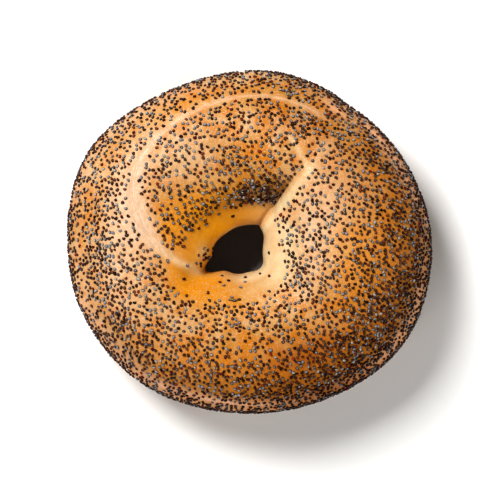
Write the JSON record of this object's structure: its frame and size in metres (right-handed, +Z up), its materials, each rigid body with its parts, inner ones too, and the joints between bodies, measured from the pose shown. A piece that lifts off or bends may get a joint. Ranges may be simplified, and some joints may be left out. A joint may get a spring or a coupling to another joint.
{
  "type": "bagel",
  "caption": "Round baked bagel, a rope of dough lapped into a ring round a small hole, its crust scattered with poppy seeds.",
  "frame": {"origin": "on the surface that the bagel rests on, under the middle of its box", "axes": "+Z up out of the seeded top, +X along the bagel's longest way across"},
  "size_m": [0.1126, 0.1062, 0.0393],
  "materials": {
    "crust": "baked, with a low egg-brown gloss",
    "poppy_seed": "dry, slate blue to black"
  },
  "bodies": {
    "root": {"bagel": "crust"}
  },
  "joints": []
}
